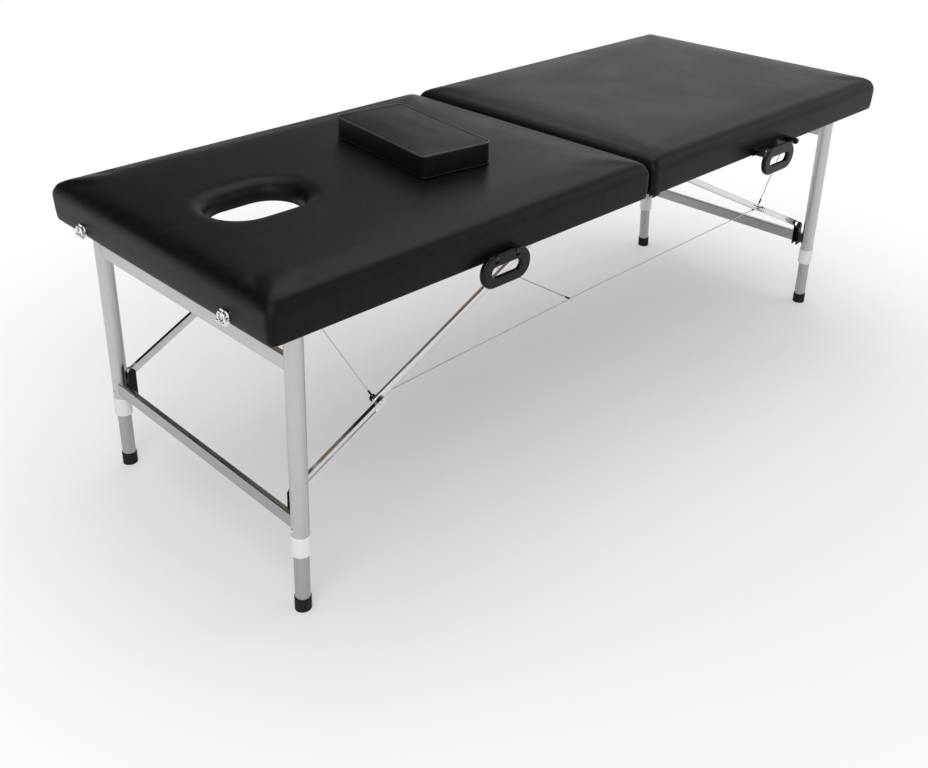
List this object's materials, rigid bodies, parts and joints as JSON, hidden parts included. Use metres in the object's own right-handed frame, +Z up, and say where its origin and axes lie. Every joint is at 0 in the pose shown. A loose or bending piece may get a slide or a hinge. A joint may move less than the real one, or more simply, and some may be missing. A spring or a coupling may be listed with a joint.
{
  "type": "folding massage table",
  "caption": "Portable treatment table of two padded halves hinged in the middle, with folding adjustable legs, stays and bracing cables, a face hole and a loose pillow.",
  "frame": {"origin": "on the floor, under the middle of the table: the hinge line crosses the centre line above it", "axes": "+X towards the foot end along the table, -Y towards the long side with the handles, +Z up"},
  "size_m": [1.8245, 0.7315, 0.6763],
  "materials": {
    "cover": "black upholstery leatherette with a fine grain and a soft sheen",
    "board": "plain plywood and softwood, unpainted",
    "leg_tube": "satin anodised tube",
    "inner_tube": "brushed tube with height holes",
    "polished_metal": "bright polished",
    "collar_plastic": "white moulded plastic",
    "black_plastic": "glossy black moulded plastic",
    "rubber": "matt black rubber",
    "bracket_steel": "zinc-plated pressed sheet",
    "wire_rope": "galvanised wire rope"
  },
  "bodies": {
    "head_panel": {"head_cushion": "cover", "head_board": "board", "head_rails": "board", "head_hinge_leaves": "bracket_steel", "head_leg_brackets": "bracket_steel", "head_stay_anchors": "bracket_steel", "head_pivot_pins": "bracket_steel", "head_handle_base": "black_plastic", "head_screws": "polished_metal", "head_cables": "wire_rope", "face_hole_liner": "black_plastic", "latch_plates": "polished_metal"},
    "head_leg_frame": {"head_leg_front": "leg_tube", "head_leg_back": "leg_tube", "head_upper_bar": "leg_tube", "head_lower_bar": "polished_metal", "head_collars": "collar_plastic", "head_stay_brackets": "black_plastic"},
    "head_upper_stays": {"head_upper_stay_front": "polished_metal", "head_upper_stay_back": "polished_metal"},
    "head_lower_stays": {"head_lower_stay_front": "polished_metal", "head_lower_stay_back": "polished_metal"},
    "head_front_foot": {"head_inner_leg_front": "inner_tube", "head_tip_front": "rubber"},
    "head_front_button": {"head_button_front": "polished_metal"},
    "head_back_foot": {"head_inner_leg_back": "inner_tube", "head_tip_back": "rubber"},
    "head_back_button": {"head_button_back": "polished_metal"},
    "head_handle": {"head_handle_loop": "black_plastic"},
    "foot_panel": {"foot_cushion": "cover", "foot_board": "board", "foot_rails": "board", "foot_hinge_leaves": "bracket_steel", "foot_leg_brackets": "bracket_steel", "foot_stay_anchors": "bracket_steel", "foot_pivot_pins": "bracket_steel", "foot_handle_base": "black_plastic", "foot_screws": "polished_metal", "foot_cables": "wire_rope", "latch_catches": "polished_metal"},
    "foot_leg_frame": {"foot_leg_front": "leg_tube", "foot_leg_back": "leg_tube", "foot_upper_bar": "leg_tube", "foot_lower_bar": "polished_metal", "foot_collars": "collar_plastic", "foot_stay_brackets": "black_plastic"},
    "foot_upper_stays": {"foot_upper_stay_front": "polished_metal", "foot_upper_stay_back": "polished_metal"},
    "foot_lower_stays": {"foot_lower_stay_front": "polished_metal", "foot_lower_stay_back": "polished_metal"},
    "foot_front_foot": {"foot_inner_leg_front": "inner_tube", "foot_tip_front": "rubber"},
    "foot_front_button": {"foot_button_front": "polished_metal"},
    "foot_back_foot": {"foot_inner_leg_back": "inner_tube", "foot_tip_back": "rubber"},
    "foot_back_button": {"foot_button_back": "polished_metal"},
    "foot_handle": {"foot_handle_loop": "black_plastic"},
    "front_latch": {"front_latch_loop": "polished_metal"},
    "back_latch": {"back_latch_loop": "polished_metal"},
    "pillow": {"head_pillow": "cover"}
  },
  "joints": [
    {"name": "centre_fold", "type": "hinge", "parent": "head_panel", "child": "foot_panel", "pos_m": [0, 0, 0.549], "axis": [0, 1, 0], "range_deg": [0, 180], "deforming": ["head_cables", "foot_cables"]},
    {"name": "head_leg_fold", "type": "hinge", "parent": "head_panel", "child": "head_leg_frame", "pos_m": [-0.832, 0, 0.569], "axis": [0, -1, 0], "range_deg": [0, 93.2]},
    {"name": "head_upper_stay_swing", "type": "hinge", "parent": "head_panel", "child": "head_upper_stays", "pos_m": [-0.1, 0, 0.58], "axis": [0, 1, 0], "range_deg": [0, 25.63]},
    {"name": "head_lower_stay_swing", "type": "hinge", "parent": "head_leg_frame", "child": "head_lower_stays", "pos_m": [-0.84022, 0, 0.22492], "axis": [0, -1, 0], "range_deg": [0, 61.17]},
    {"name": "head_front_height", "type": "slide", "parent": "head_leg_frame", "child": "head_front_foot", "axis": [-0.0558, 0, -0.9984], "range_m": [0, 0.2]},
    {"name": "head_front_button_press", "type": "slide", "parent": "head_leg_frame", "child": "head_front_button", "axis": [0.9984, 0, -0.0558], "range_m": [0, 0.0015], "stiffness_N_per_m": 300},
    {"name": "head_back_height", "type": "slide", "parent": "head_leg_frame", "child": "head_back_foot", "axis": [-0.0558, 0, -0.9984], "range_m": [0, 0.2]},
    {"name": "head_back_button_press", "type": "slide", "parent": "head_leg_frame", "child": "head_back_button", "axis": [0.9984, 0, -0.0558], "range_m": [0, 0.0015], "stiffness_N_per_m": 300},
    {"name": "head_handle_swing", "type": "hinge", "parent": "head_panel", "child": "head_handle", "pos_m": [-0.425, -0.362, 0.5615], "axis": [-1, 0, 0], "range_deg": [0, 95]},
    {"name": "foot_leg_fold", "type": "hinge", "parent": "foot_panel", "child": "foot_leg_frame", "pos_m": [0.832, 0, 0.569], "axis": [0, 1, 0], "range_deg": [0, 93.2]},
    {"name": "foot_upper_stay_swing", "type": "hinge", "parent": "foot_panel", "child": "foot_upper_stays", "pos_m": [0.1, 0, 0.58], "axis": [0, -1, 0], "range_deg": [0, 25.63]},
    {"name": "foot_lower_stay_swing", "type": "hinge", "parent": "foot_leg_frame", "child": "foot_lower_stays", "pos_m": [0.84022, 0, 0.22492], "axis": [0, 1, 0], "range_deg": [0, 61.17]},
    {"name": "foot_front_height", "type": "slide", "parent": "foot_leg_frame", "child": "foot_front_foot", "axis": [0.0558, 0, -0.9984], "range_m": [0, 0.2]},
    {"name": "foot_front_button_press", "type": "slide", "parent": "foot_leg_frame", "child": "foot_front_button", "axis": [-0.9984, 0, -0.0558], "range_m": [0, 0.0015], "stiffness_N_per_m": 300},
    {"name": "foot_back_height", "type": "slide", "parent": "foot_leg_frame", "child": "foot_back_foot", "axis": [0.0558, 0, -0.9984], "range_m": [0, 0.2]},
    {"name": "foot_back_button_press", "type": "slide", "parent": "foot_leg_frame", "child": "foot_back_button", "axis": [-0.9984, 0, -0.0558], "range_m": [0, 0.0015], "stiffness_N_per_m": 300},
    {"name": "foot_handle_swing", "type": "hinge", "parent": "foot_panel", "child": "foot_handle", "pos_m": [0.425, -0.375, 0.5615], "axis": [-1, 0, 0], "range_deg": [0, 95]},
    {"name": "front_latch_swing", "type": "hinge", "parent": "head_panel", "child": "front_latch", "pos_m": [-0.9075, -0.23, 0.5535], "axis": [0, -1, 0], "range_deg": [0, 180]},
    {"name": "back_latch_swing", "type": "hinge", "parent": "head_panel", "child": "back_latch", "pos_m": [-0.9075, 0.23, 0.5535], "axis": [0, -1, 0], "range_deg": [0, 180]},
    {"name": "pillow_lift", "type": "slide", "parent": "head_panel", "child": "pillow", "axis": [0, 0, 1], "range_m": [0, 0.2]}
  ],
  "couplings": [
    {"joint": "head_leg_fold", "follows": "centre_fold", "ratio": 0.51778},
    {"joint": "head_upper_stay_swing", "follows": "centre_fold", "ratio": 0.14237},
    {"joint": "head_lower_stay_swing", "follows": "centre_fold", "ratio": 0.33985},
    {"joint": "foot_leg_fold", "follows": "centre_fold", "ratio": 0.51778},
    {"joint": "foot_upper_stay_swing", "follows": "centre_fold", "ratio": 0.14237},
    {"joint": "foot_lower_stay_swing", "follows": "centre_fold", "ratio": 0.33985}
  ]
}
